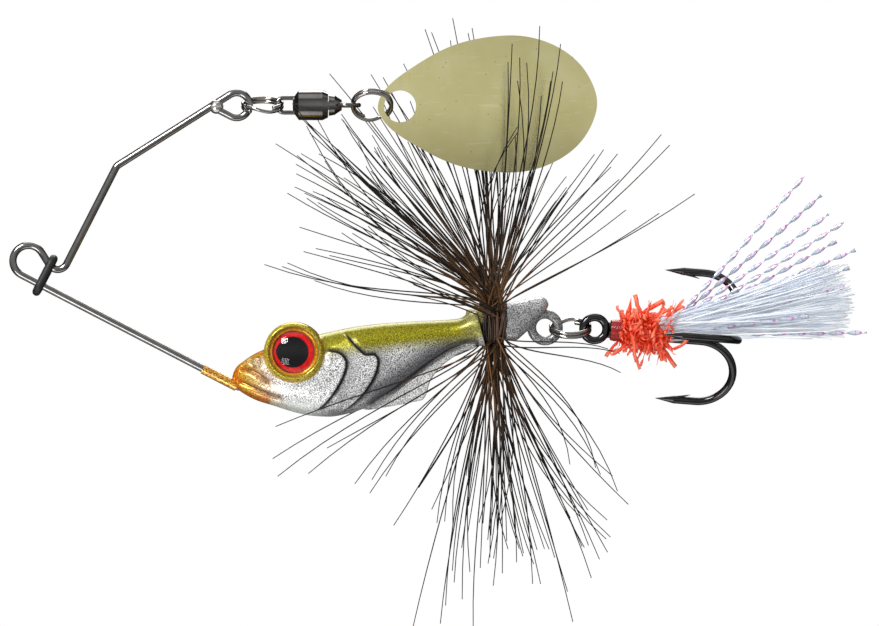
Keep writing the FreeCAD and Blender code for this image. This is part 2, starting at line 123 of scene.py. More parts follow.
class Strands:
    """Gathers round or flat strands into one mesh, with each one's own masks."""

    def __init__(self):
        self.vertices = []
        self.faces = []
        self.masks = {"reach": [], "strand": []}
        self.count = 0

    def add(self, path, widths, sides=4, flatness=1.0, twist=None, closed=False, tag=0.0):
        """A tube along path. widths are radii, flatness thins one way, twist is an angle per point."""
        path = np.asarray(path, float)
        number = len(path)
        if closed:
            heading = np.roll(path, -1, 0) - np.roll(path, 1, 0)
        else:
            heading = np.gradient(path, axis=0)
        heading /= np.linalg.norm(heading, axis=1)[:, None]
        across = np.cross(heading[0], SIDE if abs(heading[0] @ SIDE) < 0.9 else BACK)
        frames = []
        for step in range(number):
            across = across - heading[step] * (across @ heading[step])
            across /= np.linalg.norm(across)
            frames.append(across)
        across = np.array(frames)
        upward = np.cross(heading, across)
        turn = np.zeros(number) if twist is None else np.asarray(twist)
        widths = np.broadcast_to(widths, number)
        first = self.count
        for side in range(sides):
            angle = 2 * math.pi * side / sides
            wide = math.cos(angle) * widths
            thin = math.sin(angle) * widths * flatness
            offset = across * (wide * np.cos(turn) - thin * np.sin(turn))[:, None]
            offset = offset + upward * (wide * np.sin(turn) + thin * np.cos(turn))[:, None]
            self.vertices.append(path + offset)
        self.count += number * sides

        def index(side, step):
            return first + (side % sides) * number + step % number

        for step in range(number if closed else number - 1):
            for side in range(sides):
                corners = (side, step), (side + 1, step), (side + 1, step + 1), (side, step + 1)
                self.faces.append(tuple(index(*corner) for corner in corners))
        if not closed:
            self.faces.append(tuple(index(side, 0) for side in reversed(range(sides))))
            self.faces.append(tuple(index(side, number - 1) for side in range(sides)))
        self.masks["reach"].append(np.tile(np.linspace(0, 1, number), sides))
        self.masks["strand"].append(np.full(number * sides, tag))

    def build(self, name):
        piece = new_object(name, np.concatenate(self.vertices), self.faces)
        for mask, values in self.masks.items():
            set_mask(piece, mask, np.concatenate(values))
        return piece


def bezier(points, steps):
    """A cubic curve through four control points."""
    t = np.linspace(0, 1, steps)[:, None]
    a, b, c, d = [np.asarray(p, float) for p in points]
    return a * (1 - t) ** 3 + 3 * b * t * (1 - t) ** 2 + 3 * c * t ** 2 * (1 - t) + d * t ** 3


def smoothstep(low, high, value):
    t = np.clip((value - low) / (high - low), 0, 1)
    return t * t * (3 - 2 * t)


def profile(points):
    """A smooth function through (along, value) points that doesn't overshoot."""
    x, y = np.array(points, float).T
    slope = np.diff(y) / np.diff(x)
    both = slope[1:] * slope[:-1]
    inner = np.where(both > 0, 2 * both / (slope[1:] + slope[:-1] + 1e-12), 0)
    tangent = np.concatenate([[slope[0]], inner, [slope[-1]]])

    def value(at):
        at = np.clip(at, x[0], x[-1])
        k = np.clip(np.searchsorted(x, at) - 1, 0, len(x) - 2)
        h = x[k + 1] - x[k]
        t = (at - x[k]) / h
        return (
            (1 + 2 * t) * (1 - t) ** 2 * y[k]
            + t * (1 - t) ** 2 * h * tangent[k]
            + t * t * (3 - 2 * t) * y[k + 1]
            + t * t * (t - 1) * h * tangent[k + 1]
        )

    return value


def to_line(along, back, line):
    """Distance from each point to a line of (along, back) points, its side of the line (positive towards
    the tail for a line drawn downwards) and how far along the line it is nearest, from 0 to 1."""
    line = np.array(line, float)
    best = np.full(len(along), 1e9)
    sign = np.ones(len(along))
    reach = np.zeros(len(along))
    lengths = np.linalg.norm(np.diff(line, axis=0), axis=1)
    starts = np.concatenate([[0], np.cumsum(lengths)[:-1]]) / lengths.sum()
    for start, end, begun, length in zip(line[:-1], line[1:], starts, lengths):
        run = end - start
        t = np.clip(((along - start[0]) * run[0] + (back - start[1]) * run[1]) / length ** 2, 0, 1)
        gap_a = along - start[0] - t * run[0]
        gap_b = back - start[1] - t * run[1]
        distance = np.hypot(gap_a, gap_b)
        nearer = distance < best
        best = np.where(nearer, distance, best)
        sign = np.where(nearer, np.sign(run[0] * gap_b - run[1] * gap_a), sign)
        reach = np.where(nearer, begun + t * length / lengths.sum(), reach)
    return best, sign, reach


def smooth_line(points, steps=8):
    """More points along a smooth curve through a few."""
    points = np.array(points, float)
    padded = np.vstack([2 * points[0] - points[1], points, 2 * points[-1] - points[-2]])
    curve = []
    for a, b, c, d in zip(padded, padded[1:], padded[2:], padded[3:]):
        for t in np.arange(steps) / steps:
            bow = (2 * a - 5 * b + 4 * c - d) * t ** 2 + (3 * b - a - 3 * c + d) * t ** 3
            curve.append(0.5 * (2 * b + (c - a) * t + bow))
    curve.append(points[-1])
    return np.array(curve)


# ---- materials -----------------------------------------------------------------------------------------
def is_socket(value):
    return isinstance(value, bpy.types.NodeSocket)


def fill(tree, socket, value):
    """Links a socket, or sets its constant."""
    if is_socket(value):
        tree.links.new(value, socket)
    else:
        socket.default_value = value


def add_node(tree, kind, outlet, inputs, **settings):
    """Adds a shader node, fills its inputs by name or number, and gives back one of its outputs."""
    node = tree.nodes.new("ShaderNode" + kind)
    for key, value in settings.items():
        setattr(node, key, value)
    for key, value in inputs.items():
        fill(tree, node.inputs[key], value)
    return node.outputs[outlet]


def add_ramp(tree, source, stops):
    """A colour ramp from (position, colour) stops, or from (position, number) stops."""
    node = tree.nodes.new("ShaderNodeValToRGB")
    elements = node.color_ramp.elements
    while len(elements) < len(stops):
        elements.new(0.5)
    for element, (position, color) in zip(elements, stops):
        element.position = position
        element.color = (color, color, color, 1) if np.isscalar(color) else (*color, 1)
    tree.links.new(source, node.inputs["Fac"])
    return node.outputs["Color"]


class Finish:
    """A Principled material and short ways to wire procedural detail into it. Noise and cell scales are in
    features per metre, so a scale of 9000 gives marks about 0.1 mm apart."""

    def __init__(self, name, color=(0.8, 0.8, 0.8), **values):
        self.material = bpy.data.materials.new(name)
        self.material.use_nodes = True
        self.tree = self.material.node_tree
        self.shader = self.tree.nodes["Principled BSDF"]
        self.place = self.add("TexCoord", "Object", {})
        self.set(base_color=(*color, 1), **values)

    def add(self, kind, outlet, inputs, **settings):
        return add_node(self.tree, kind, outlet, inputs, **settings)

    def set(self, **values):
        """Sets or links the shader's inputs, such as coat_weight=0.4."""
        for key, value in values.items():
            name = key.replace("_", " ").title().replace("Ior", "IOR")
            fill(self.tree, self.shader.inputs[name], value)

    def stretched(self, scale):
        return self.add("Mapping", "Vector", {"Vector": self.place, "Scale": scale})

    def noise(self, scale, detail=2.0, roughness=0.5, place=None):
        inputs = {"Vector": place or self.place, "Scale": scale, "Detail": detail, "Roughness": roughness}
        return self.add("TexNoise", "Fac", inputs)

    def cells(self, scale):
        """Distance from the middle of the nearest cell."""
        return self.add("TexVoronoi", "Distance", {"Vector": self.place, "Scale": scale})

    def mask(self, name):
        return self.add("Attribute", "Fac", {}, attribute_name=name)

    def ramp(self, source, stops):
        return add_ramp(self.tree, source, stops)

    def mix(self, factor, first, second):
        first, second = (value if is_socket(value) else (*value, 1) for value in (first, second))
        return self.add("Mix", 2, {0: factor, 6: first, 7: second}, data_type="RGBA")

    def rough(self, source, low, high):
        self.set(roughness=self.add("MapRange", "Result", {"Value": source, "To Min": low, "To Max": high}))

    def bump(self, source, height, strength=1.0):
        """Height is in millimetres."""
        inputs = {"Height": source, "Distance": height * MM, "Strength": strength}
        self.set(normal=self.add("Bump", "Normal", inputs))

    def surface(self, share, first, second):
        """Makes the surface a mix of two shaders."""
        both = self.add("MixShader", "Shader", {"Fac": share, 1: first, 2: second})
        self.tree.links.new(both, self.tree.nodes["Material Output"].inputs["Surface"])


def let_light_through(finish, share, color):
    """Mixes in light that passes through from behind, as thin fibre and film do."""
    through = finish.add("BsdfTranslucent", "BSDF", {"Color": color})
    finish.surface(share, finish.shader.outputs["BSDF"], through)


def metal(name, color, roughness, scale=9000.0, depth=0.004):
    """Polished metal with faint drawing marks and uneven polish."""
    finish = Finish(name, color, metallic=1.0, roughness=roughness)
    finish.rough(finish.noise(1500.0, 4.0, 0.6), roughness * 0.7, roughness * 1.5)
    finish.bump(finish.noise(scale, 3.0), depth)
    dull = tuple(0.8 * c for c in color)
    bright = tuple(min(1, 1.1 * c) for c in color)
    finish.set(base_color=finish.ramp(finish.noise(700.0, 3.0), [(0.3, dull), (0.7, bright)]))
    return finish.material


def keeper_rubber():
    finish = Finish("keeper_rubber", (0.012, 0.012, 0.013), roughness=0.55)
    finish.rough(finish.noise(3000.0, 4.0), 0.4, 0.65)
    finish.bump(finish.noise(5000.0, 3.0), 0.012)
    finish.set(base_color=finish.ramp(finish.noise(900.0, 3.0), [(0.3, 0.003), (0.75, 0.01)]))
    return finish.material


def sleeve_paint():
    finish = Finish("sleeve_paint", metallic=0.75, roughness=0.28)
    orange_gold = [(0.36, (0.3, 0.08, 0.002)), (0.5, (0.65, 0.26, 0.01)), (0.64, (1.0, 0.7, 0.16))]
    finish.set(base_color=finish.ramp(finish.noise(5500.0, 2.0), orange_gold))
    finish.set(coat_weight=0.8, coat_roughness=0.06)
    finish.bump(finish.noise(1600.0, 3.0), 0.03)
    return finish.material


FLAKE_SCALE = 8500.0
# Layers of body colour in the order they are laid on: the mask, then the colours of its flake. The shade
# layer is painted shade, and the belly layer is pale belly paint with a painted highlight on the rear
# collar.
BODY_LAYERS = [
    ("belly", [(0.4, (0.45, 0.48, 0.45)), (0.58, (0.95, 0.97, 0.92))]),
    ("shade", [(0.38, (0.02, 0.022, 0.026)), (0.62, (0.16, 0.16, 0.18))]),
    ("olive", [(0.36, (0.09, 0.08, 0.0)), (0.5, (0.21, 0.19, 0.0)), (0.64, (0.4, 0.37, 0.01))]),
    ("gold", [(0.38, (0.3, 0.11, 0.0)), (0.5, (0.62, 0.33, 0.004)), (0.62, (0.95, 0.62, 0.05))]),
    ("orange", [(0.38, (0.26, 0.04, 0.0)), (0.6, (0.72, 0.2, 0.0))]),
    ("rim", [(0.36, (0.12, 0.09, 0.0)), (0.52, (0.48, 0.36, 0.01)), (0.66, (0.85, 0.72, 0.12))]),
]
# Colour of the painted shade lines in the casting's grooves and behind its steps.
SHADE_LINE_COLOR = (0.012, 0.011, 0.01)


def flake_silver(finish, dark, light):
    """Metallic flake: bright specks on grey, at the size of real flake."""
    stops = [(0.41, dark), (0.5, (dark + light) / 2), (0.58, light)]
    return finish.ramp(finish.noise(FLAKE_SCALE, 1.0), stops)


def body_paint():
    """Olive back, sparkling silver flanks and an orange-gold snout, airbrushed into each other, with
    painted shade, painted shadow lines and a painted highlight laid over them.
    """
    finish = Finish("body_paint", metallic=0.4, specular_ior_level=0.3)
    flake = finish.noise(FLAKE_SCALE, 1.0)
    color = flake_silver(finish, 0.16, 1.0)
    for mask, stops in BODY_LAYERS:
        color = finish.mix(finish.mask(mask), color, finish.ramp(flake, stops))
    # Painted shade: dark lines in the grooves, behind the gill steps, round the nostril and inside the eye
    # socket's rim.
    finish.set(base_color=finish.mix(finish.mask("line"), color, SHADE_LINE_COLOR))
    finish.rough(finish.mask("gold"), 0.34, 0.2)
    finish.bump(flake, 0.012, 0.8)
    finish.set(coat_weight=0.12, coat_roughness=0.08)
    return finish.material


def grey_flake():
    """The darker silver of the tail block and its eye."""
    finish = Finish("grey_flake", metallic=0.5, roughness=0.38)
    finish.set(base_color=flake_silver(finish, 0.06, 0.42))
    finish.bump(finish.noise(FLAKE_SCALE, 1.0), 0.015)
    finish.set(coat_weight=0.4, coat_roughness=0.1)
    return finish.material


def eye_print():
    finish = Finish("eye_print", roughness=0.4)
    rays = finish.noise(2500.0, 2.0)
    red = finish.ramp(rays, [(0.3, (0.4, 0.002, 0.002)), (0.7, (0.7, 0.006, 0.005))])
    gold = finish.ramp(rays, [(0.3, (0.42, 0.13, 0.003)), (0.7, (0.8, 0.4, 0.03))])
    color = finish.mix(finish.mask("iris"), gold, red)
    color = finish.mix(finish.mask("pupil"), color, (0.003, 0.003, 0.004))
    finish.set(base_color=color, specular_ior_level=0.1)
    return finish.material


def clear_resin():
    """Resin that shows what is behind it and reflects at its surface."""
    finish = Finish("clear_resin")
    wave = finish.add("Bump", "Normal", {"Height": finish.noise(600.0, 2.0), "Distance": 0.01 * MM})
    clear = finish.add("BsdfTransparent", "BSDF", {})
    glossy = finish.add("BsdfGlossy", "BSDF", {"Roughness": 0.03, "Normal": wave})
    finish.surface(finish.add("Fresnel", "Fac", {"IOR": 1.4}), clear, glossy)
    return finish.material


def gold_plate():
    """Pale gold plate, polished, with fine scratches, worn streaks and a few pits."""
    finish = Finish("gold_plate", metallic=1.0)
    scratches = finish.noise(900.0, 5.0, 0.7, finish.stretched((0.25, 1.0, 4.0)))
    streaks = finish.noise(2600.0, 3.0, 0.6, finish.stretched((1.0, 1.0, 0.12)))
    gold = [(0.3, (0.76, 0.69, 0.32)), (0.55, (0.82, 0.76, 0.38)), (0.75, (0.88, 0.82, 0.46))]
    tint = finish.ramp(finish.noise(180.0, 3.0), gold)
    tint = finish.mix(finish.ramp(streaks, [(0.6, 0.0), (0.72, 0.45)]), tint, (0.95, 0.9, 0.6))
    pits = finish.ramp(finish.cells(900.0), [(0.05, 0.8), (0.09, 0.0)])
    finish.set(base_color=finish.mix(pits, tint, (0.33, 0.3, 0.17)))
    finish.rough(scratches, 0.07, 0.26)
    finish.bump(scratches, 0.006)
    return finish.material


def hair_fibre():
    """Black hair, some of it brown near the root."""
    finish = Finish("hair_fibre", roughness=0.6, specular_ior_level=0.22)
    hair = finish.mask("strand")
    black = finish.ramp(hair, [(0.0, (0.003, 0.0025, 0.002)), (1.0, (0.012, 0.008, 0.006))])
    brown = finish.ramp(hair, [(0.2, (0.014, 0.009, 0.006)), (0.85, (0.2, 0.095, 0.036))])
    near_root = finish.ramp(finish.mask("reach"), [(0.1, 1.0), (0.6, 0.0)])
    finish.set(base_color=finish.mix(near_root, black, brown))
    finish.bump(finish.noise(9000.0, 2.0), 0.01)
    return finish.material


def binding_thread():
    finish = Finish("binding_thread", roughness=0.5)
    browns = [(0.1, (0.014, 0.01, 0.008)), (0.9, (0.12, 0.06, 0.03))]
    finish.set(base_color=finish.ramp(finish.mask("strand"), browns))
    finish.bump(finish.noise(9000.0, 2.0), 0.012)
    return finish.material


def red_thread():
    finish = Finish("red_thread", roughness=0.3)
    reds = [(0.3, (0.14, 0.002, 0.002)), (0.7, (0.45, 0.006, 0.005))]
    finish.set(base_color=finish.ramp(finish.noise(4000.0, 2.0), reds))
    finish.bump(finish.noise(9000.0, 2.0), 0.01)
    finish.set(coat_weight=0.5)
    return finish.material


# Emission that paints light into the chenille, so that it looks brighter than the lamps light it.
CHENILLE_PAINTED_GLOW = 0.12


def tinsel():
    """Crinkled translucent strips, deeper in colour near the core."""
    finish = Finish("tinsel", roughness=0.35)
    reds = [(0.0, (0.5, 0.008, 0.003)), (0.3, (0.95, 0.075, 0.012)), (1.0, (1.0, 0.38, 0.22))]
    depth = finish.ramp(finish.mask("reach"), reds)
    pale = finish.ramp(finish.mask("strand"), [(0.3, 0.0), (1.0, 0.5)])
    color = finish.mix(pale, depth, (1.0, 0.45, 0.33))
    # The emission paints extra light into the strips.
    finish.set(base_color=color, emission_color=(1, 0.06, 0.01, 1), emission_strength=CHENILLE_PAINTED_GLOW)
    let_light_through(finish, 0.45, color)
    finish.bump(finish.noise(5000.0, 2.0), 0.02)
    return finish.material


# Emission that paints light into the white fibre, so that it looks a little brighter than plain white.
FIBRE_PAINTED_GLOW = 0.13


def white_fibre():
    finish = Finish("white_fibre", roughness=0.3)
    whites = [(0.0, (0.78, 0.83, 0.9)), (0.5, (0.93, 0.95, 0.98)), (1.0, (1, 1, 1))]
    color = finish.ramp(finish.mask("strand"), whites)
    # The emission paints extra light into the fibre.
    finish.set(base_color=color, emission_color=(0.85, 0.92, 1, 1), emission_strength=FIBRE_PAINTED_GLOW)
    let_light_through(finish, 0.5, color)
    finish.bump(finish.noise(8000.0, 2.0), 0.005)
    return finish.material


def pearl_film():
    """Twisted film, pale lavender-grey, with painted glints of magenta, white and cyan at its twists."""
    finish = Finish("pearl_film", metallic=0.2, roughness=0.18)
    pearl_and_glints = [(0.0, (0.78, 0.8, 0.88)), (0.2, (0.75, 0.72, 0.9)), (0.34, (0.6, 0.18, 0.45)),
             (0.5, (1.0, 0.9, 1.0)), (0.62, (0.4, 0.72, 0.78)), (0.74, (0.8, 0.81, 0.9)),
             (1.0, (0.78, 0.8, 0.88))]
    color = finish.ramp(finish.mask("phase"), pearl_and_glints)
    finish.set(base_color=color)
    let_light_through(finish, 0.3, color)
    finish.bump(finish.noise(4000.0, 2.0), 0.01)
    return finish.material


def dress(piece, material):
    """Gives a piece, or a CAD node, one material."""
    piece.data.materials.clear()
    piece.data.materials.append(material)


def place(piece, body, material, slot, node):
    """Dresses a new piece, rides it on its body and lets it stand for a CAD node."""
    dress(piece, material)
    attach(piece, body)
    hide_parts(node)


# ---- the cast minnow -----------------------------------------------------------------------------------
EYE = middle("eye_foil_left")[:2]
EYE_FACE = span("eye_foil_right")[0][2]
SOCKET_R = 3.56
NECK = middle("hackle_collar")[:2]

# Outlines of the casting as (along, back), and half widths as (along, side).
BODY_TOP = [(24.45, -13.95), (24.62, -13.35), (25.0, -12.7), (25.7, -12.1), (26.7, -11.4), (28.2, -10.65),
            (31.0, -9.8), (35.4, -8.7), (40.5, -7.72), (45.5, -7.3), (50.5, -7.05), (51.6, -6.9),
            (52.4, -6.5), (53.3, -6.05), (53.75, -6.0)]
BODY_BOTTOM = [(24.45, -14.15), (24.7, -14.75), (25.2, -15.45), (26.2, -16.15), (27.55, -16.8),
               (29.5, -17.4), (31.7, -18.1), (34.1, -18.6), (36.0, -18.7), (38.5, -18.3), (40.5, -17.6),
               (42.5, -16.45), (45.5, -14.15), (48.5, -11.95), (51.6, -10.15), (52.6, -9.95), (53.4, -10.3),
               (53.75, -10.35)]
BODY_WIDTH = [(24.45, 0.3), (24.8, 0.95), (25.7, 1.5), (27.0, 2.1), (29.0, 2.8), (32.0, 3.35), (35.5, 3.6),
              (39.0, 3.5), (43.0, 3.05), (47.0, 2.7), (50.5, 2.5), (52.3, 2.7), (53.75, 2.9)]
BODY_LEAN = 0.26
BLOCK_TOP = [(57.3, -5.15), (59.5, -4.65), (61.4, -4.28), (62.1, -4.55), (62.42, -5.1)]
BLOCK_BOTTOM = [(57.3, -9.6), (58.6, -9.5), (59.0, -9.2), (62.1, -5.95), (62.42, -5.35)]
BLOCK_WIDTH = [(57.3, 2.05), (59.5, 1.95), (61.5, 1.5), (62.2, 0.8), (62.42, 0.3)]
NECK_RUN = (52.5, 58.5)
NECK_R = 1.6
NECK_MIDDLE = 55.0
FIN = [(39.0, -17.0), (40.4, -17.85), (42.2, -17.66), (44.1, -17.33), (46.9, -16.78), (47.35, -16.6),
       (47.7, -16.1), (47.95, -15.3), (48.25, -14.4), (48.9, -13.4), (49.65, -12.55), (51.9, -10.95),
       (53.6, -10.4), (52.5, -9.2), (44.0, -12.5)]
FIN_HALF = 0.85
# The socket's boss from the middle plane out to its rim and in to its shallow dish, as (side, radius).
SOCKET = [(0.0, SOCKET_R), (3.35, SOCKET_R), (3.72, 3.5), (4.02, 3.34), (4.17, 3.14), (4.1, 2.98),
          (3.9, 2.86), (3.72, 2.6), (3.7, 0.01)]
RIM_CREST_R = 2.98
NOSTRIL = (27.38, -12.12)
# Lines in the casting's surface, as (along, back).
CAST_LINES = {
    "front": [(35.6, -10.75), (37.3, -11.1), (38.05, -11.85), (38.1, -12.8), (37.6, -14.2), (36.8, -15.6),
              (35.8, -16.9), (34.4, -18.1)],
    "rear": [(37.8, -8.6), (38.6, -9.5), (39.6, -10.6), (40.45, -11.3), (41.5, -11.3), (41.95, -12.0),
             (41.75, -13.2), (41.2, -14.4), (40.2, -15.85), (39.0, -17.05), (37.5, -18.25)],
    "keel": [(53.0, -9.65), (51.6, -10.2), (50.4, -10.75), (48.35, -12.1), (45.9, -14.0), (43.9, -15.45),
             (42.2, -16.45), (40.7, -17.4)],
    "brow": [(25.3, -12.75), (26.3, -12.95), (27.1, -13.3), (28.05, -14.0), (29.1, -14.85)],
    "mouth": [(24.9, -14.2), (25.6, -14.65), (27.2, -15.4), (29.3, -16.25), (30.7, -16.7)],
}


def ring_faces(rows, ring):
    """Faces between rows of points that each go once round."""
    faces = []
    for row in range(0, (rows - 1) * ring, ring):
        for k in range(ring):
            after = (k + 1) % ring
            faces.append((row + k, row + after, row + ring + after, row + ring + k))
    return faces


def lofted(top, bottom, width, shear=0.0, squareness=2.3, stations=220, ring=96):
    """A closed body with rounded sections between a top and a bottom line."""
    start, end = top[0][0], top[-1][0]
    along = start + (end - start) * (0.5 - 0.5 * np.cos(np.linspace(0, math.pi, stations)))
    high, low, half = profile(top)(along), profile(bottom)(along), profile(width)(along)
    angle = np.linspace(0, 2 * math.pi, ring, endpoint=False)
    power = 2 / squareness
    up = np.sign(np.sin(angle)) * np.abs(np.sin(angle)) ** power
    out = np.sign(np.cos(angle)) * np.abs(np.cos(angle)) ** power
    centre, height = (high + low) / 2, (high - low) / 2
    back = centre[:, None] + height[:, None] * up
    side = half[:, None] * out
    lean = shear * smoothstep(end - 3.5, end, along)[:, None] * (high[-1] - back)
    grid = np.stack([along[:, None] + lean, back, side], axis=2).reshape(-1, 3)
    faces = ring_faces(stations, ring)
    faces.append(tuple(reversed(range(ring))))
    faces.append(tuple((stations - 1) * ring + k for k in range(ring)))
    return grid, faces


def slab(outline, half):
    """A flat plate with straight sides."""
    outline = smooth_line(outline, 3)
    count = len(outline)
    points = [(a, b, -half) for a, b in outline] + [(a, b, half) for a, b in outline]
    faces = [tuple(range(count)), tuple(reversed(range(count, 2 * count)))]
    faces += [(k, k + count, (k + 1) % count + count, (k + 1) % count) for k in range(count)]
    return np.array(points), faces


def lathe(profile_points, centre, axis, steps=96):
    """A solid turned about axis through centre, from (distance along the axis, radius) points."""
    axis = unit(axis)
    spoke = unit(np.cross(axis, BACK if abs(axis @ BACK) < 0.9 else ALONG))
    other = np.cross(axis, spoke)
    points = []
    for step in range(steps):
        angle = 2 * math.pi * step / steps
        out = spoke * math.cos(angle) + other * math.sin(angle)
        points += [centre + axis * d + out * r for d, r in profile_points]
    count = len(profile_points)
    faces = []
    for step in range(steps):
        here, there = step * count, (step + 1) % steps * count
        faces += [(here + k, there + k, there + k + 1, here + k + 1) for k in range(count - 1)]
    faces.append(tuple(reversed(range(0, steps * count, count))))
    faces.append(tuple(range(count - 1, steps * count, count)))
    return np.array(points), faces


def joined(parts):
    """The points and faces of several solids as one set."""
    vertices, faces, first = [], [], 0
    for points, polygons in parts:
        vertices.append(points)
        faces += [tuple(first + index for index in polygon) for polygon in polygons]
        first += len(points)
    return np.concatenate(vertices), faces


def remeshed(points, faces, voxel, relax):
    """One skin over overlapping closed solids, in millimetres, then relaxed."""
    mesh = bpy.data.meshes.new("solids")
    mesh.from_pydata(points.tolist(), [], faces)
    work = bpy.data.objects.new("solids", mesh)
    bpy.context.scene.collection.objects.link(work)
    modifier = work.modifiers.new("skin", "REMESH")
    modifier.mode = "VOXEL"
    modifier.voxel_size = voxel
    relaxing = work.modifiers.new("relax", "SMOOTH")
    relaxing.factor = 0.5
    relaxing.iterations = relax
    skin = bpy.data.meshes.new_from_object(work.evaluated_get(bpy.context.evaluated_depsgraph_get()))
    bpy.data.objects.remove(work)
    vertices = np.zeros(len(skin.vertices) * 3)
    skin.vertices.foreach_get("co", vertices)
    normals = np.zeros(len(skin.vertices) * 3)
    skin.vertices.foreach_get("normal", normals)
    polygons = [tuple(polygon.vertices) for polygon in skin.polygons]
    return vertices.reshape(-1, 3), normals.reshape(-1, 3), polygons


def step_relief(distance, side, reach, height, fade):
    """A plate that ends in a step: proud in front of the line, and undercut just behind it."""
    ends = smoothstep(0, fade, reach) * smoothstep(0, fade, 1 - reach)
    signed = distance * side
    front = height * np.exp(np.minimum(signed, 0) / 1.3) / (1 + np.exp(np.clip(signed / 0.05, -50, 50)))
    behind = 0.8 * height * np.exp(-((np.maximum(signed, 0) / 0.42) ** 2))
    behind = behind / (1 + np.exp(np.clip(-signed / 0.05, -50, 50)))
    return (front - behind) * ends


def groove(line, depth, width, fade=0.12):
    """A round-bottomed groove that dies away at both ends of a line."""
    distance, _, reach = line
    ends = smoothstep(0, fade, reach) * smoothstep(0, fade, 1 - reach)
    return -depth * np.exp(-((distance / width) ** 2)) * ends


def behind(line, width):
    """How near a point is behind a gill line, from 1 at the line down to 0."""
    distance, side, reach = line
    signed = distance * side
    fall = np.exp(-((np.maximum(signed, 0) / width) ** 2)) * (signed > -0.08)
    return fall * smoothstep(0, 0.08, reach) * smoothstep(0, 0.1, 1 - reach)


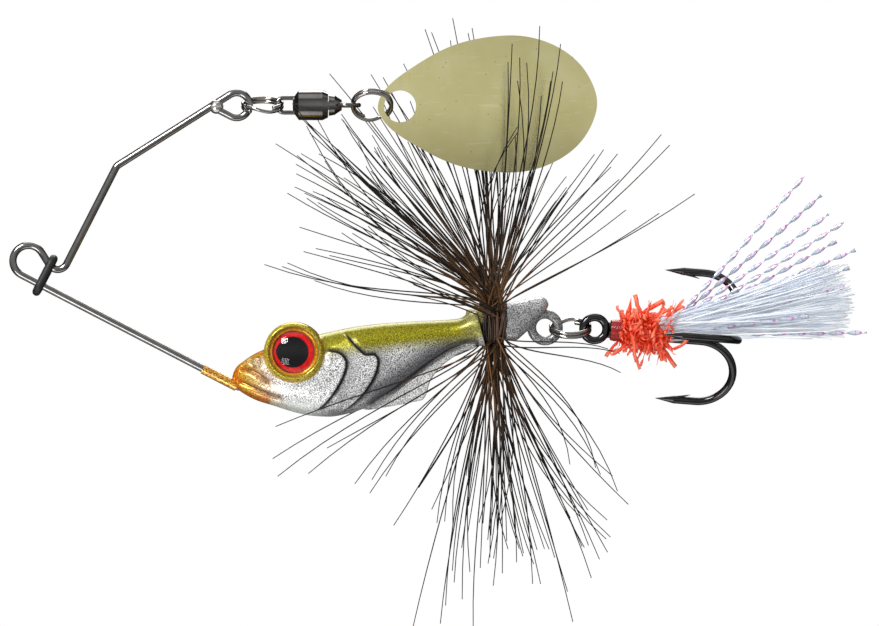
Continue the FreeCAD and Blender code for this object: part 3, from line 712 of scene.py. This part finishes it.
def cast_minnow():
    """The casting as one skin, with its lines raised or sunk, a mask for each layer of paint, and masks of
    painted shade and painted highlight.
    """
    parts = [
        lofted(BODY_TOP, BODY_BOTTOM, BODY_WIDTH, shear=BODY_LEAN),
        lofted(BLOCK_TOP, BLOCK_BOTTOM, BLOCK_WIDTH, squareness=2.8, stations=80),
        slab(FIN, FIN_HALF),
        lathe([(end - NECK[0], NECK_R) for end in NECK_RUN], np.array([*NECK, 0.0]), ALONG),
        lathe(SOCKET, np.array([*EYE, 0.0]), -SIDE),
        lathe(SOCKET, np.array([*EYE, 0.0]), SIDE),
    ]
    vertices, normals, faces = remeshed(*joined(parts), voxel=0.115, relax=2)
    along, back, side = vertices.T
    facing = np.abs(normals[:, 2])
    from_eye = np.hypot(along - EYE[0], back - EYE[1])
    from_nostril = np.hypot(along - NOSTRIL[0], back - NOSTRIL[1])
    line_names = ("front", "rear", "keel", "brow", "mouth")
    gill_front, gill_rear, keel, brow, mouth = (
        to_line(along, back, smooth_line(CAST_LINES[name])) for name in line_names
    )

    on_head = smoothstep(3.45, 3.75, from_eye) * (along < NECK_MIDDLE)
    on_body = smoothstep(0.15, 0.6, facing) * on_head
    relief = step_relief(*gill_front, 0.26, 0.08) + step_relief(*gill_rear, 0.26, 0.06)
    relief = relief + groove(keel, 0.2, 0.3, 0.06) + groove(brow, 0.5, 0.34) + groove(mouth, 0.44, 0.28)
    relief = relief + 0.26 * np.exp(-((from_nostril / 0.36) ** 2))
    relief = relief - 0.16 * np.exp(-(((from_nostril - 0.62) / 0.16) ** 2))
    vertices = vertices + normals * (relief * on_body)[:, None]

    boss = 1 - smoothstep(3.6, 3.8, from_eye)
    rim = boss * smoothstep(3.3, 3.6, np.abs(side))
    dish = 1 - smoothstep(2.9, 3.05, from_eye)
    # Painted shade in a ring on the inner slope of the socket's rim.
    lip = np.exp(-(((from_eye - RIM_CREST_R) / 0.12) ** 2)) * (np.abs(side) > 3.4)
    in_groove = np.maximum(-groove(brow, 1, 0.3), -groove(mouth, 1, 0.24))
    keel_distance, keel_side, _ = keel
    above_keel = np.where(keel_side < 0, np.exp(-((keel_distance / 2.3) ** 2)), 0)
    below_keel = (keel_side > 0) & (along > 41) & (along < 54)

    olive_edge = -11.2 + (along - 36) * 0.11
    olive = smoothstep(olive_edge - 1.1, olive_edge + 0.9, back) * smoothstep(33.5, 35.5, along) * on_head
    # The olive thins over the rear collar so that the painted highlight there shows.
    olive = olive * (1 - 0.15 * smoothstep(51.3, 53.0, along))
    snout = 1 - smoothstep(25.0, 30.5, along + 0.28 * (back + 12))
    crown = smoothstep(-12.0, -10.6, back) * (along < 33)
    gold = np.clip(0.95 * snout + crown, 0, 1) * on_head
    crown_edge = smoothstep(-11.9, -10.9, back) * (along < 29.5)
    # Deeper orange in the brow and mouth grooves is painted shade; the orange at the snout's tip and the
    # crown's edge is paint.
    orange = np.clip(1 - smoothstep(24.6, 26.4, along) + 0.7 * crown_edge + 0.5 * in_groove, 0, 1)
    chin = 0.8 * smoothstep(0.35, 0.75, -normals[:, 1]) * (along < 29)
    # Painted shade: darker on the flank above the keel, behind each gill step, low on the gill plates and
    # along the fin's edges.
    shade = np.maximum.reduce([
        0.95 * above_keel * smoothstep(38.5, 42, along) * (back > -18.2),
        0.5 * behind(gill_front, 1.3),
        0.5 * behind(gill_rear, 1.9),
        0.6 * smoothstep(-16.2, -18.4, back) * smoothstep(33.5, 37, along) * (along < 41),
        0.9 * below_keel * (1 - smoothstep(0.5, 0.9, facing)),
    ])
    # Painted shade on the lower part of the tail block.
    block_shade = 0.55 * (along > 55.5) * smoothstep(-4.4, -6.4, back)
    # The line mask is painted shade: dark just behind the gill steps, in the keel, brow and mouth grooves,
    # and in the ring round the nostril.
    line = np.maximum.reduce([
        np.clip(1.3 * np.maximum(behind(gill_front, 0.38), behind(gill_rear, 0.4)), 0, 1),
        0.9 * -groove(keel, 1, 0.24, 0.05),
        0.55 * in_groove * smoothstep(25, 26.5, along),
        0.5 * np.exp(-(((from_nostril - 0.6) / 0.16) ** 2)),
    ])
    # The pale band on top of the rear collar is a painted highlight; the pale belly under the jaw is paint,
    # and the fin's flat faces take a little of the belly's pale silver.
    belly = np.maximum.reduce([
        smoothstep(-16.0, -17.6, back) * smoothstep(27, 29.5, along) * (1 - smoothstep(33, 37, along)),
        0.9 * smoothstep(50.5, 53.0, along) * smoothstep(-9.6, -8.2, back),
        0.3 * below_keel * smoothstep(0.5, 0.9, facing),
    ])
    piece = new_object("minnow_body", vertices, faces)
    masks = {
        "belly": belly * on_head,
        "shade": np.maximum(shade * on_head, block_shade),
        "olive": olive,
        "gold": np.maximum(gold, boss),
        "orange": np.maximum(np.maximum(orange, chin) * on_head, 0.45 * dish * rim),
        "rim": rim * (1 - dish),
        "line": np.maximum(line * on_body, 0.6 * lip),
    }
    for name, values in masks.items():
        set_mask(piece, name, values)
    return piece


PRINT_R = 2.7
IRIS_R = 2.55
PUPIL_R = 1.86
DOME_R = 2.62
DOME_RISE = 0.9


def eye(flank, name):
    """A printed disc and the dome of resin over it."""
    rings, spokes = 60, 120
    radius = np.linspace(0.0, PRINT_R, rings)[:, None]
    angle = np.linspace(0, 2 * math.pi, spokes, endpoint=False)[None, :]
    along = EYE[0] + radius * np.cos(angle)
    back = EYE[1] + radius * np.sin(angle)
    side = flank * (abs(EYE_FACE) + 0.02 + 0.16 * (1 - (radius / PRINT_R) ** 2)) * np.ones_like(angle)
    points = np.stack([along, back, side], axis=2).reshape(-1, 3)
    disc = new_object("eye_print_" + name, points, ring_faces(rings, spokes))
    from_middle = points[:, :2] - EYE
    from_iris = np.hypot(from_middle[:, 0] + 0.08, from_middle[:, 1] + 0.05)
    from_pupil = np.hypot(from_middle[:, 0] + 0.06, from_middle[:, 1] + 0.02)
    # The pupil is drawn out to a blunt point towards the nose.
    bearing = np.arctan2(from_middle[:, 1] - 0.15, -from_middle[:, 0])
    pupil_edge = PUPIL_R + 0.2 * np.exp(-((bearing / 0.45) ** 2))
    set_mask(disc, "iris", 1 - smoothstep(IRIS_R - 0.03, IRIS_R + 0.02, from_iris))
    set_mask(disc, "pupil", 1 - smoothstep(pupil_edge - 0.03, pupil_edge + 0.03, from_pupil))
    place(disc, "frame", eye_print(), "eye_foil", "eye_foil_" + name)
    ball_r = (DOME_R ** 2 + DOME_RISE ** 2) / (2 * DOME_RISE)
    bow = [(DOME_RISE - ball_r + math.sqrt(ball_r ** 2 - r ** 2), r) for r in np.linspace(DOME_R, 0.01, 40)]
    foot = np.array([*EYE, flank * (abs(EYE_FACE) + 0.06)])
    dome = new_object("eye_resin_" + name, *lathe(bow, foot, SIDE * flank))
    place(dome, "frame", clear_resin(), "eye_resin", "eye_dome_" + name)


# ---- hackle --------------------------------------------------------------------------------------------
# Fans of hair, as (first angle, last angle, number, shortest, longest). Angles are in the lure's middle
# plane from straight down the lure, positive towards its back; lengths are in millimetres.
HAIR_FANS = [
    (25, 42, 3, 28, 33),
    (42, 70, 14, 22, 31),
    (70, 103, 46, 30, 38),
    (103, 120, 10, 26, 34),
    (120, 150, 48, 28, 35),
    (150, 170, 16, 25, 31),
    (199, 217, 10, 22, 33),
    (228, 256, 12, 22, 32),
    (256, 284, 38, 26, 37),
    (284, 309, 22, 26, 35),
    (338, 352, 3, 14, 26),
]
HAIR_R = 0.09
HAIR_TAPER = 0.42
HAIR_STEPS = 14
HAIRS_PER_LOCK = 4
LOCK_SPREAD_DEG = 3.0
SPREAD_MOST_DEG = 62
ROOT_OUT = 1.7
# Hair between these angles passes the blade, clear of it by at least this much. Some of the hair that is
# tailward of FRONT_TO passes in front.
BLADE_FAN = (52, 128)
BLADE_CLEAR_DEG = 9
FRONT_TO = 88
FRONT_SHARE = 0.4


def hair_heading(angle, spread):
    in_plane = math.cos(spread)
    return np.array([math.cos(angle) * in_plane, math.sin(angle) * in_plane, math.sin(spread)])


def hackle():
    """A couple of hundred hairs in small locks that share a direction and a bend."""
    chance = random.Random(11)
    collar_low, collar_high = span("hackle_collar")
    hair_low, hair_high = span("hackle_hair")
    hairs = Strands()
    widths = HAIR_R * (1 - HAIR_TAPER * np.linspace(0, 1, HAIR_STEPS) ** 2)
    for first, last, number, shortest, longest in HAIR_FANS:
        for lock in range(math.ceil(number / HAIRS_PER_LOCK)):
            lock_angle = first + (lock + chance.random()) * (last - first) * HAIRS_PER_LOCK / number
            lock_spread = chance.gauss(0, 20)
            lock_bend = np.array([chance.gauss(0, 1), chance.gauss(0, 1), chance.gauss(0, 0.6)]) * 0.065
            lock_length = chance.uniform(shortest, longest)
            behind_blade = lock_angle > FRONT_TO or chance.random() > FRONT_SHARE
            for _ in range(min(HAIRS_PER_LOCK, number - lock * HAIRS_PER_LOCK)):
                angle = lock_angle + chance.gauss(0, LOCK_SPREAD_DEG)
                spread = lock_spread + chance.gauss(0, 2 * LOCK_SPREAD_DEG)
                if BLADE_FAN[0] < angle < BLADE_FAN[1]:
                    spread = (1 if behind_blade else -1) * (BLADE_CLEAR_DEG + abs(spread))
                spread = math.radians(max(-SPREAD_MOST_DEG, min(SPREAD_MOST_DEG, spread)))
                heading = hair_heading(math.radians(angle), spread)
                length = min(longest, lock_length * chance.uniform(0.8, 1.08))
                length = min(length, hair_high[2] / max(abs(heading[2]), 0.01))
                out = unit([0, heading[1], heading[2]])
                root = np.array([chance.uniform(collar_low[0] + 0.3, collar_high[0]), NECK[1], 0])
                root = root + out * ROOT_OUT
                bend = length * (lock_bend + np.array([chance.gauss(0, 0.02) for _ in range(3)]))
                tip = np.clip(root + heading * length, hair_low + 0.2, hair_high - 0.2)
                guides = [root, root + out * 2.6 + heading * 2, root + heading * length * 0.55 + bend, tip]
                hairs.add(bezier(guides, HAIR_STEPS), widths, tag=chance.random())
    return hairs.build("hackle_hairs")


WRAP_R = 0.11


def binding(name, node, count, low_r, high_r, seed, tilt):
    """Turns of thread or hair laid round the neck, each a little out of true."""
    chance = random.Random(seed)
    low, high = span(node)
    turns = Strands()
    angle = np.linspace(0, 2 * math.pi, 40, endpoint=False)
    for _ in range(count):
        radius = chance.uniform(low_r, high_r)
        along = chance.uniform(low[0] + 0.1, high[0] - 0.1)
        lean = chance.gauss(0, tilt)
        turn_from = chance.uniform(0, 2 * math.pi)
        wander = 0.06 * np.sin(3 * angle + turn_from)
        path = np.stack([
            along + lean * np.cos(angle - turn_from),
            NECK[1] + (radius + wander) * np.cos(angle),
            (radius + wander) * np.sin(angle),
        ], axis=1)
        turns.add(path, WRAP_R, sides=5, closed=True, tag=chance.random())
    return turns.build(name)


# ---- links ---------------------------------------------------------------------------------------------
COIL_START = math.radians(35)
COIL_END = math.radians(685)
COIL_STEP = (math.radians(330), math.radians(390))
COIL_WIRE = 0.24
COIL_HALF_PITCH = 0.225


def split_ring(node, axis, turn_deg):
    """One length of wire wound nearly twice round, stepping from one coil to the other."""
    low, high = span(node)
    radius = (high[0] - low[0]) / 2 - COIL_WIRE - 0.01
    axis = unit(axis)
    other = np.cross(axis, ALONG)
    angle = np.linspace(COIL_START, COIL_END, 150)
    rise = COIL_HALF_PITCH * (2 * smoothstep(*COIL_STEP, angle) - 1)
    around = angle + math.radians(turn_deg)
    path = middle(node) + radius * (np.cos(around)[:, None] * ALONG + np.sin(around)[:, None] * other)
    coil = Strands()
    coil.add(path + rise[:, None] * axis, COIL_WIRE, sides=14)
    return coil.build(node.replace("split_ring", "coil"))


# ---- dressing on the hook ------------------------------------------------------------------------------
HOOK_EYE = np.array([67.94, -8.15, 0.0])
HOOK_AXIS = unit([math.cos(math.radians(4.5)), -math.sin(math.radians(4.5)), 0])
HOOK_UP = np.array([-HOOK_AXIS[1], HOOK_AXIS[0], 0])


def on_hook(along, out=0.0, angle=0.0):
    spoke = HOOK_UP * math.cos(angle) + SIDE * math.sin(angle)
    return HOOK_EYE + HOOK_AXIS * along + spoke * out


def hook_thread():
    thread = Strands()
    turns = 9
    angle = np.linspace(0, 2 * math.pi * turns, 40 * turns)
    along = 1.95 + 1.15 * angle / angle[-1]
    path = np.array([on_hook(a, 1.12 + 0.1 * math.sin(t / turns / 2), t) for a, t in zip(along, angle)])
    thread.add(path, 0.1, sides=6)
    return thread.build("hook_thread_turns")


def chenille():
    """A wound core with short strips standing out of it, a fifth of them long."""
    chance = random.Random(5)
    strips = Strands()
    core_turns = 13
    angle = np.linspace(0, 2 * math.pi * core_turns, 24 * core_turns)
    along = 3.0 + 5.7 * angle / angle[-1]
    core = np.array([on_hook(a, 0.95 + 0.12 * math.sin(5 * t), t) for a, t in zip(along, angle)])
    strips.add(core, 0.36, sides=7)
    steps = 7
    for _ in range(360):
        start = chance.uniform(3.2, 8.7)
        around = chance.uniform(0, 2 * math.pi)
        sweep = chance.gauss(0.15, 0.45)
        swirl = chance.gauss(0, 0.55)
        long_one = chance.random() < 0.2
        length = chance.uniform(2.0, 3.6) if long_one else chance.uniform(0.9, 1.7)
        path = []
        for step in range(steps):
            t = step / (steps - 1)
            kink = chance.gauss(0, 0.05) * (step > 0)
            along = start + sweep * length * t + kink
            path.append(on_hook(along, 0.9 + length * t, around + swirl * t + kink * 0.6))
        twist = np.cumsum([chance.gauss(0, 0.3) for _ in range(steps)]) + chance.uniform(0, math.pi)
        strips.add(path, chance.uniform(0.18, 0.3), flatness=0.12, twist=twist, tag=chance.random())
    return strips.build("chenille_strips")


def tail_fibres():
    """A flat fan of fine fibres, widest from belly to back."""
    chance = random.Random(21)
    _, high = span("tail_fibres")
    fibres = Strands()
    steps = 12
    for _ in range(430):
        root = on_hook(chance.uniform(7.6, 8.9), chance.uniform(0.4, 1.6), chance.uniform(0, 2 * math.pi))
        root[1] += 0.7
        up = chance.uniform(-1, 1)
        deep = chance.uniform(-1, 1) * math.sqrt(max(0.05, 1 - 0.8 * up * up))
        reach = chance.uniform(0.7, 1.0) ** 0.7
        end = root[0] + (high[0] - root[0]) * reach * (1 - 0.05 * abs(up))
        tip = np.array([end, -4.8 + 4.3 * up + chance.gauss(0, 0.35), 3.4 * deep])
        run = tip - root
        wave = np.array([0, chance.gauss(0, 0.5), chance.gauss(0, 0.4)])
        path = bezier([root, root + run * 0.33 + wave, root + run * 0.68 - wave * 0.6, tip], steps)
        twist = np.linspace(0, chance.gauss(0, 2.5), steps) + chance.uniform(0, math.pi)
        widths = np.linspace(0.14, 0.07, steps)
        fibres.add(path, widths, flatness=0.2, twist=twist, tag=chance.random())
    return fibres.build("tail_fibre_bundle")


FLASH_TIPS = [(93.0, 10.1, -1.2), (95.2, 7.9, 1.0), (97.7, 4.6, -2.4), (97.1, 2.4, 2.6), (99.2, 1.3, -0.6),
              (98.7, -0.8, 3.0), (96.0, 5.6, -0.4), (100.5, -8.6, -1.6), (93.5, -6.6, -2.6),
              (97.8, -3.1, -2.2)]
FLASH_PITCH = 4.6


def flash():
    """Strands of flat film, each twisted evenly to its tip."""
    chance = random.Random(3)
    film = Strands()
    phases = []
    steps, sides = 90, 4
    for tip in FLASH_TIPS:
        root = on_hook(8.4, chance.uniform(0.3, 1.2), chance.uniform(-1, 1))
        run = tip - root
        path = bezier([root, root + run * 0.3 - [0, 0.35, 0], root + run * 0.7 - [0, 0.2, 0], tip], steps)
        turns = np.linalg.norm(run) / FLASH_PITCH
        twist = np.linspace(0, 2 * math.pi * turns, steps) + chance.uniform(0, 6)
        film.add(path, 0.29, sides=sides, flatness=0.3, twist=twist)
        phases.append(np.tile((twist / math.pi) % 1, sides))
    piece = film.build("flash_film")
    set_mask(piece, "phase", np.concatenate(phases))
    return piece


# ---- stage ---------------------------------------------------------------------------------------------
VIEW_CENTRE = (49.33, -6.25, 0.0)
VIEW_WIDTH = 105.5
VIEW_DISTANCE = 800.0
# Lamps as (name, place in millimetres, width in metres, watts).
LAMPS = [
    ("key", (-260, 330, -380), 0.22, 3.6),
    ("fill", (-170, -230, -330), 0.2, 0.6),
    ("rim", (40, 300, 300), 0.3, 1.2),
]


def camera():
    """Faces the left flank, rolled so that the nose is to the left of the picture."""
    data = bpy.data.cameras.new("camera")
    data.sensor_width = 36
    data.lens = data.sensor_width * VIEW_DISTANCE / VIEW_WIDTH
    data.clip_start = 0.01
    data.clip_end = 20
    eye_point = bpy.data.objects.new("camera", data)
    bpy.context.scene.collection.objects.link(eye_point)
    along, back, side = VIEW_CENTRE
    spot = to_frame([(along, back, side - VIEW_DISTANCE)])[0]
    right, up, towards = Vector((0, 0, -1)), Vector((1, 0, 0)), Vector((0, -1, 0))
    turn = Matrix((right, up, towards)).transposed()
    eye_point.matrix_world = Matrix.Translation(Vector(spot)) @ turn.to_4x4()
    bpy.context.scene.camera = eye_point


def soft_light(name, spot, size, power):
    """A round lamp aimed at the middle of the view."""
    data = bpy.data.lights.new(name, "AREA")
    data.shape = "DISK"
    data.size = size
    data.energy = power
    lamp = bpy.data.objects.new(name, data)
    bpy.context.scene.collection.objects.link(lamp)
    lamp.location = Vector(to_frame([spot])[0])
    aim = Vector(to_frame([VIEW_CENTRE])[0]) - lamp.location
    lamp.rotation_euler = aim.to_track_quat("-Z", "Y").to_euler()


# Brightness of the studio that the lure reflects, from below its belly (-1) to above its back (1).
STUDIO = [(-1.0, 1.5), (-0.85, 1.2), (-0.72, 0.18), (-0.3, 0.28), (0.0, 0.6), (0.2, 0.58), (0.5, 0.42),
          (0.72, 0.2), (0.86, 1.1), (1.0, 1.1)]
# From where the studio is the far side, by its direction's side part: dark to anything polished, so that
# edges stay dark against the white, and bright behind thin fibre.
FAR_SIDE = (-0.15, 0.35)
FLAG = 0.05
BACKLIGHT = 1.15


def world():
    """White behind the object, and a softer, uneven studio for everything else to reflect."""
    scene_world = bpy.data.worlds.new("studio")
    scene_world.use_nodes = True
    tree = scene_world.node_tree
    parts = tree.nodes.new("ShaderNodeSeparateXYZ")
    tree.links.new(add_node(tree, "TexCoord", "Generated", {}), parts.inputs["Vector"])
    upward = add_node(tree, "MapRange", "Result", {"Value": parts.outputs["X"], "From Min": -1})
    color = add_ramp(tree, upward, [((position + 1) / 2, level) for position, level in STUDIO])
    far_span = {"Value": parts.outputs["Y"], "From Min": FAR_SIDE[0], "From Max": FAR_SIDE[1]}
    far_side = add_node(tree, "MapRange", "Result", far_span, interpolation_type="SMOOTHSTEP")
    ray = tree.nodes.new("ShaderNodeLightPath").outputs
    glow = add_node(tree, "Math", "Value", {0: ray["Is Diffuse Ray"], 1: far_side}, operation="MULTIPLY")
    for share, level in ((far_side, FLAG), (glow, BACKLIGHT), (ray["Is Camera Ray"], 1.0)):
        layers = {0: share, 6: color, 7: (level, level, level, 1)}
        color = add_node(tree, "Mix", 2, layers, data_type="RGBA")
    tree.links.new(color, tree.nodes["Background"].inputs["Color"])
    bpy.context.scene.world = scene_world


# The floor lies well below the hanging lure and out of the camera's view. Lengths are in millimetres.
FLOOR_DROP = 600.0
FLOOR_R = 1500.0
FLOOR_GLOW = 0.35


def floor():
    """A plain pale floor, kept out of the lure's reflections and its bounced light."""
    sides = 96
    angle = np.linspace(0, 2 * math.pi, sides, endpoint=False)
    edge = np.stack([np.full(sides, FLOOR_DROP), FLOOR_R * np.cos(angle), FLOOR_R * np.sin(angle)], axis=1)
    disc = new_object("floor", edge, [tuple(range(sides))], smooth=False)
    finish = Finish("floor_paint", roughness=0.7)
    finish.set(base_color=finish.ramp(finish.noise(6.0), [(0.3, 0.88), (0.7, 0.94)]))
    finish.set(emission_color=(1, 1, 1, 1), emission_strength=FLOOR_GLOW)
    dress(disc, finish.material)
    disc.visible_diffuse = False
    disc.visible_glossy = False


# ---- the lure ------------------------------------------------------------------------------------------
def build():
    """Every piece with its body and material, and the CAD nodes it stands for."""
    place(cast_minnow(), "frame", body_paint(), "body_paint", "body_casting")
    eye(-1, "left")
    eye(1, "right")
    place(hackle(), "frame", hair_fibre(), "hackle_fibre", "hackle_hair")
    wraps = binding("hackle_wraps", "hackle_collar", 46, 1.7, 2.55, 7, 0.35)
    place(wraps, "frame", binding_thread(), "hackle_fibre", "hackle_collar")
    wraps = binding("thread_wraps", "hackle_thread", 14, 1.75, 2.0, 8, 0.05)
    place(wraps, "frame", binding_thread(), "hackle_thread", "hackle_thread")
    nickel = metal("bright_nickel", (0.34, 0.32, 0.305), 0.1)
    blade_axis = np.cross(ALONG, joint_axis("blade_swing"))
    for link, axis, turn_deg in (
        ("arm", joint_axis("swivel_yaw"), 90),
        ("blade", blade_axis, 80),
        ("tail", joint_axis("hook_yaw"), 250),
    ):
        node = link + "_split_ring"
        place(split_ring(node, axis, turn_deg), link + "_ring", nickel, "nickel_ring", node)
    place(hook_thread(), "hook", red_thread(), "red_thread", "hook_thread")
    place(chenille(), "hook", tinsel(), "orange_chenille", "hook_chenille")
    place(tail_fibres(), "hook", white_fibre(), "white_fibre", "tail_fibres")
    place(flash(), "hook", pearl_film(), "pearl_flash", "flash_strands")
    swivel = metal("dark_nickel", (0.2, 0.19, 0.18), 0.1)
    hooks = metal("black_nickel", (0.06, 0.06, 0.062), 0.08)
    finishes = {
        "wire_arm": metal("wire_steel", (0.25, 0.245, 0.24), 0.1),
        "arm_eye_weld": metal("bead_steel", (0.62, 0.61, 0.59), 0.2, scale=1800.0, depth=0.05),
        "line_keeper": keeper_rubber(),
        "nose_sleeve": sleeve_paint(),
        "tail_eye": grey_flake(),
        "swivel_front_loop": swivel,
        "swivel_barrel": swivel,
        "swivel_balls": nickel,
        "swivel_shaft": swivel,
        "spinner_blade": gold_plate(),
        "hook_double": hooks,
        "hook_single": hooks,
    }
    for node, material in finishes.items():
        dress(frame["nodes"][node], material)


bpy.context.scene.view_settings.view_transform = "Standard"
camera()
world()
floor()
for lamp in LAMPS:
    soft_light(*lamp)
build()
